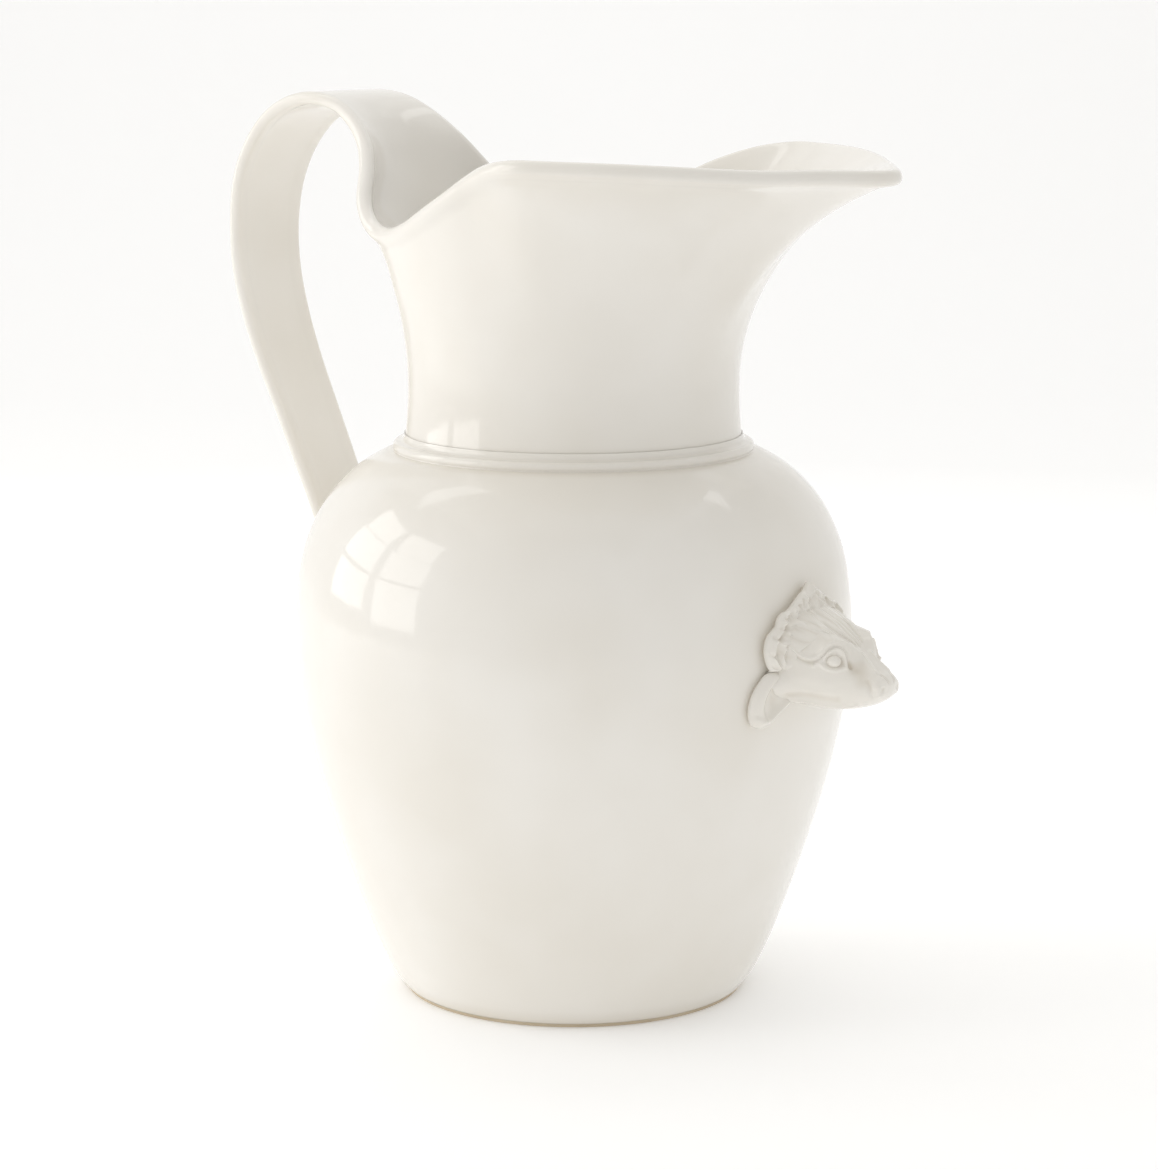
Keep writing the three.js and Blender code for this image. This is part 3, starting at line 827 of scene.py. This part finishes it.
def headFront():
    # x of the head's front at each (y, z): the farthest station whose section still holds it
    y, z = np.linspace(0, 26, 66), np.linspace(104, 150, 116)
    x = np.linspace(88, head["stations"][-1][0], 320)
    wide, top, low = (v[:, None, None] for v in headRow(x))
    power = head["squareness"]
    held = (np.abs(y[None, :, None] / wide) ** power
            + np.abs((z[None, None] - (top + low) / 2) / ((top - low) / 2)) ** power) < 1
    far = held.shape[0] - 1 - np.argmax(held[::-1], axis=0)
    return y, z, np.where(held.any(axis=0), x[far], 86.0)


def lookUp(table, y, z):
    # value of a table at |y|, z, blended between its four nearest cells
    ys, zs, grid = table
    u = np.clip(np.abs(y) / (ys[1] - ys[0]), 0, len(ys) - 1.001)
    v = np.clip((z - zs[0]) / (zs[1] - zs[0]), 0, len(zs) - 1.001)
    i, j = u.astype(int), v.astype(int)
    fu, fv = u - i, v - j
    return ((grid[i, j] * (1 - fv) + grid[i, j + 1] * fv) * (1 - fu)
            + (grid[i + 1, j] * (1 - fv) + grid[i + 1, j + 1] * fv) * fu)


def capped(points, quads, loop, centre):
    # closes a sheet with a fan from its border to one hidden point
    after = np.roll(loop, -1)
    fan = matched(np.stack([loop, after, np.full(len(loop), len(points))], axis=1), quads)
    return np.vstack([points, [centre]]), [quads, fan]


def hairCrown():
    # columns run from the outline on the wall to the hairline: first the curls' edge rises
    # out of its gap, then the height is the greater of the head with a thin cover and the
    # wall with the edge's height, softly joined; locks stand up and small hollows go in
    share = np.linspace(-1, 1, hair["columns"])
    side = np.where(share < 0, 1, -1)
    out = through(hair["outline"], np.abs(share)) * [-1, 1]
    line = through(hair["hairline"], np.abs(share)) * [-1, 1]
    length = np.linalg.norm(line - out, axis=1)[None]
    way = (line - out) / length.T
    lead = alongLine(hair["edge"], hair["edgeRows"])[:-1]
    t = np.linspace(0, 1, hair["rows"])[:, None] ** 1.15
    into = np.vstack([lead[:, :1] + 0 * length, length * t])
    rise = np.concatenate([lead[:, 1], np.full(len(t), np.nan)])[:, None]
    y = side * (out[:, 0] + way[:, 0] * into)
    z = out[:, 1] + way[:, 1] * into
    wall = wallFace(y, z, 0)
    skull = lookUp(headFront(), y, z)
    rest = length - into
    soft = hair["soft"]
    edge = (wall + hair["edge"][-1][1] + hair["crown"] * quarterRound(into / hair["round"])
            + hair["swell"] * softStep(0, 9, into))
    cover = skull + hair["lift"] * quarterRound(rest / hair["taper"]) - 0.5
    x = edge + soft * np.logaddexp(0, (cover - edge) / soft) * np.clip(into / 1.2, 0, 1)
    x = np.where(np.isnan(rise), x, wall + rise)
    top = np.isnan(rise) * 1.0
    keep = softStep(0.2, 1.4, into) * top
    lane = np.abs(share)[None] + 0.035 * np.sin(into / length * 5.2)
    comb = np.abs(np.cos(lane * math.pi * hair["strandCount"]))
    combed = softStep(2, 5, into) * softStep(0, 1.2, rest) * top
    x = x + hair["strand"] * (comb - 0.64) * combed
    # darker in the combed grooves, the cuts, the hollows and the gap at the wall: pooled glaze and painted
    # shade
    pool = 0.4 * (1 - comb) ** 2 * combed
    for place, high, wide in hair["rolls"]:
        x = x + high * bell(into, place, wide) * keep
    for place in hair["notches"]:
        across = (np.abs(share)[None] - place - hair["notchSweep"] * into) * hair["outlineLength"]
        cut = bell(across, 0, hair["notchWidth"]) * softStep(hair["notchReach"], 1.5, into) * keep
        x = x - hair["notchDepth"] * cut
        pool = np.maximum(pool, 0.3 * cut)
    for high, wide, points in hair["locks"]:
        dots = alongLine(points, 40)
        gap = np.hypot(y[..., None] - dots[:, 0], z[..., None] - dots[:, 1]).min(axis=-1)
        x = x + high * bell(gap, 0, wide) * keep
    for high, wide, holeY, holeZ in hair["hollows"]:
        hole = np.exp(-((y - holeY) ** 2 + ((z - holeZ) * 0.8) ** 2) / wide**2)
        x = x - high * hole * keep
        pool = np.maximum(pool, 0.35 * hole * keep)
    pool = np.maximum(pool, softStep(2.4, 0.4, x - wall))
    x = wall - 1 + (x - wall + 1) * quarterRound((1 - np.abs(share)) / 0.03)
    points = np.stack([x, y, z], axis=-1).reshape(-1, 3)
    rows, columns = x.shape
    quads = gridFaces(rows, columns, False)
    if cornerNormals(points, quads)[:, 0].mean() < 0:
        quads = quads[:, ::-1]
    ids = np.arange(rows * columns).reshape(rows, columns)
    loop = np.concatenate([ids[0], ids[1:, -1], ids[-1, ::-1][1:], ids[::-1, 0][1:-1]])
    points, faces = capped(points, quads, loop, [wallFace(0, 138, 1.8), 0, 138])
    pooling = np.concatenate([pool.ravel(), [0]])
    return addPiece("hairCrown", points, faces, glaze, ["hair_crown"],
                    np.clip(pooling, 0, 1) * hair["pooling"])


ear = {
    # outline round the ear's middle: y, z, from its root round by the tip to the jaw
    "outline": [
        [-18, 121.6], [-21.8, 121.1], [-24.7, 118.6], [-26.8, 115.8], [-28, 112.6],
        [-28.3, 110], [-27.9, 107.2], [-26.6, 104.7], [-23.6, 103.6], [-20.4, 104],
        [-17.3, 106.2], [-14.8, 108.2], [-11.8, 109.6], [-11.4, 114], [-13.4, 118.6],
        [-18, 121.6],
    ],
    "middle": [-20.8, 112.4],
    # its edge from the outermost line down to the gap: how far in, height above the wall
    "edge": [[0, 2.1], [0.1, 1.6], [0.5, 1.1], [1.0, 0.6], [1.3, 0], [1.4, -1.0]],
    "crown": 0.9,
    # the fold along the outer third and the rolled lower edge: points, height, half width
    "folds": [
        [[[-19, 120], [-22.6, 116.9], [-24.8, 113.2], [-25.2, 109.6], [-24, 106.4]], 1.2, 1.8],
        [[[-26.6, 106.6], [-23.4, 105.4], [-20.4, 106], [-17.3, 108.2], [-14.6, 110],
          [-11.8, 111.4]], 1.0, 1.4],
    ],
    "dish": [-19.6, 112.4],  # middle of the shallow bowl, its half width and depth
    "dishWidth": 2.6,
    "hollow": 0.8,
    "round": 1.7,            # width over which the edge turns round
    "pooling": 0.85,
}


def earLeaf(side, name, node):
    # rings from the middle to the outline, then down its edge into the gap: a fold along the
    # outer third, a rolled lower edge and a shallow dish between them
    outline = alongLine(ear["outline"], 241)[:-1]
    middle = np.array(ear["middle"])
    size = np.linalg.norm(outline - middle, axis=1)[None]
    way = (middle - outline) / size.T
    s = np.linspace(0.02, 1, 100)[:, None]
    lead = alongLine(ear["edge"], 26)[1:]
    into = np.vstack([size * (1 - s), lead[:, :1] + 0 * size])
    rise = np.concatenate([np.full(len(s), np.nan), lead[:, 1]])[:, None]
    y = outline[:, 0] + way[:, 0] * into
    z = outline[:, 1] + way[:, 1] * into
    wall = wallFace(y, z, 0)
    dishY, dishZ = ear["dish"]
    dish = bell(np.hypot(y - dishY, (z - dishZ) * 0.6), 0, ear["dishWidth"])
    height = ear["crown"] - ear["hollow"] * dish
    for line, high, wide in ear["folds"]:
        dots = alongLine(line, 60)
        gap = np.hypot(y[..., None] - dots[:, 0], z[..., None] - dots[:, 1]).min(axis=-1)
        height = height + high * bell(gap, 0, wide)
    x = wall + ear["edge"][0][1] + quarterRound(into / ear["round"]) * height
    x = np.where(np.isnan(rise), x, wall + rise)
    # darker in the gap at the wall and in the shallow dish: pooled glaze and painted shade
    pool = np.maximum(softStep(1.6, 0.2, x - wall), 0.35 * dish)
    points = np.stack([x, y * -side, z], axis=-1).reshape(-1, 3)
    rows, columns = x.shape
    quads = gridFaces(rows, columns, True)
    if cornerNormals(points, quads)[:, 0].mean() < 0:
        quads = quads[:, ::-1]
    inner, outer = np.arange(columns), np.arange(columns) + (rows - 1) * columns
    points, faces = capped(points, quads, outer, [wallFace(*middle, 1.8), middle[0] * -side, middle[1]])
    heart = points[inner].mean(axis=0)
    fan = matched(np.stack([inner, np.roll(inner, -1), np.full(columns, len(points))], axis=1), quads)
    pooling = np.concatenate([pool.ravel(), [0, 0]])
    return addPiece(name, np.vstack([points, [heart]]), faces + [fan], glaze, [node],
                    np.clip(pooling, 0, 1) * ear["pooling"])


headMask()
eye(-1, "eyeRight", "eye_right")
eye(1, "eyeLeft", "eye_left")
hairCrown()
earLeaf(1, "earLeft", "ear_left")
earLeaf(-1, "earRight", "ear_right")


studio = {
    "azimuth": 37,           # the camera's side of the pitcher, degrees
    "distance": 1150,
    "height": 338,
    "side": 1.82,
    "pitch": 9.922,
    "lens": 106.85,
    "wall": "#fdfdfd",
    "glow": 0.14,            # the floor's own glow near the pitcher: painted light, no lamp
    "paneSize": [0.62, 0.36],
    "panePower": 1.43,       # watts, each of six
    "topPower": 5.6,
    "washPower": 13.5,       # on the wall far behind
    "room": "#e9e8e6",
    "roomStrength": 0.83,
}


def addArea(name, place, target, width, height, power, colour):
    # a soft rectangular light at a place, facing a target
    data = bpy.data.lights.new(name, "AREA")
    data.shape = "RECTANGLE"
    data.size, data.size_y = width, height
    data.energy = power
    data.color = linear(colour)[:3]
    light = bpy.data.objects.new(name, data)
    bpy.context.scene.collection.objects.link(light)
    way = np.array(target, float) - np.array(place, float)
    length = np.linalg.norm(way)
    light.location = place
    light.rotation_euler = (math.acos(-way[2] / length), 0, math.atan2(way[1], way[0]) - math.pi / 2)
    return light


def paleFloor():
    # a wide floor that curves up into a wall far behind the pitcher; it glows near the pitcher, painted
    # light that lifts the shade there
    t = np.linspace(0, 1, 60)
    run = np.concatenate([[-4.0], 1.6 + 1.0 * np.sin(t * math.pi / 2), [2.6]])
    rise = np.concatenate([[0.0], 1.0 - 1.0 * np.cos(t * math.pi / 2), [4.0]])
    a = math.radians(studio["azimuth"])
    right = np.array([math.cos(a), math.sin(a), 0])
    ahead = np.array([-math.sin(a), math.cos(a), 0])
    spread = np.linspace(-5, 5, 11)
    points = (run[:, None, None] * ahead + spread[None, :, None] * right
              + rise[:, None, None] * np.array([0, 0, 1])).reshape(-1, 3)
    mesh = bpy.data.meshes.new("paleFloor")
    mesh.from_pydata(points.tolist(), [], gridFaces(len(run), len(spread), False).tolist())
    mesh.update()
    mesh.polygons.foreach_set("use_smooth", np.ones(len(mesh.polygons), bool))
    material, tree, output = startMaterial("mattPaper")
    place = addNode(tree, "ShaderNodeTexCoord").outputs["Object"]
    away = addNode(tree, "ShaderNodeVectorMath", {"operation": "LENGTH"}, in0=place)
    glow = addNode(tree, "ShaderNodeMapRange", {"From Min": 0.7, "From Max": 1.3,
                   "To Min": studio["glow"], "To Max": 0.0}, Value=away.outputs["Value"])
    paper = addNode(tree, "ShaderNodeBsdfPrincipled",
                    {"Base Color": linear(studio["wall"]), "Roughness": 0.9,
                     "Specular IOR Level": 0.1, "Emission Color": (1, 1, 1, 1)},
                    Emission_Strength=glow.outputs["Result"])
    tree.links.new(paper.outputs[0], output.inputs["Surface"])
    mesh.materials.append(material)
    floor = bpy.data.objects.new("paleFloor", mesh)
    bpy.context.scene.collection.objects.link(floor)


def lights():
    # a tall window on the left as six panes, a broad top light, a wash on the wall behind,
    # and an even pale room all round
    a = math.radians(studio["azimuth"])
    right = np.array([math.cos(a), math.sin(a), 0])
    ahead = np.array([-math.sin(a), math.cos(a), 0])
    up = np.array([0, 0, 1.0])
    middle = up * 0.15
    for column in range(2):
        for row in range(3):
            place = -right * 1.5 + ahead * (-0.35 + 0.75 * column) + up * (0.3 + 0.42 * row)
            addArea(f"pane{column}{row}", place, middle, *studio["paneSize"],
                    studio["panePower"], "#fffdfa")
    addArea("topLight", up * 1.9 + ahead * 0.3, middle, 2.6, 2.6, studio["topPower"], "#fffefc")
    addArea("wallWash", ahead * 1.0 + up * 2.4, ahead * 2.6 + up * 0.6, 3.5, 1.2,
            studio["washPower"], "#ffffff")
    world = bpy.data.worlds.new("room")
    world.use_nodes = True
    light = world.node_tree.nodes["Background"]
    light.inputs["Color"].default_value = linear(studio["room"])
    light.inputs["Strength"].default_value = studio["roomStrength"]
    bpy.context.scene.world = world


def camera():
    # at the studio's height and side, looking down by its pitch
    a = math.radians(studio["azimuth"])
    pitch = math.radians(studio["pitch"])
    data = bpy.data.cameras.new("camera")
    data.lens = studio["lens"]
    data.sensor_width = 36
    data.clip_end = 50
    item = bpy.data.objects.new("camera", data)
    bpy.context.scene.collection.objects.link(item)
    item.location = (mm * (math.sin(a) * studio["distance"] + math.cos(a) * studio["side"]),
                     mm * (-math.cos(a) * studio["distance"] + math.sin(a) * studio["side"]),
                     mm * studio["height"])
    item.rotation_euler = (math.pi / 2 - pitch, 0, a)
    bpy.context.scene.camera = item


paleFloor()
lights()
camera()
bpy.context.scene.view_settings.view_transform = "Standard"
print("studio ready")
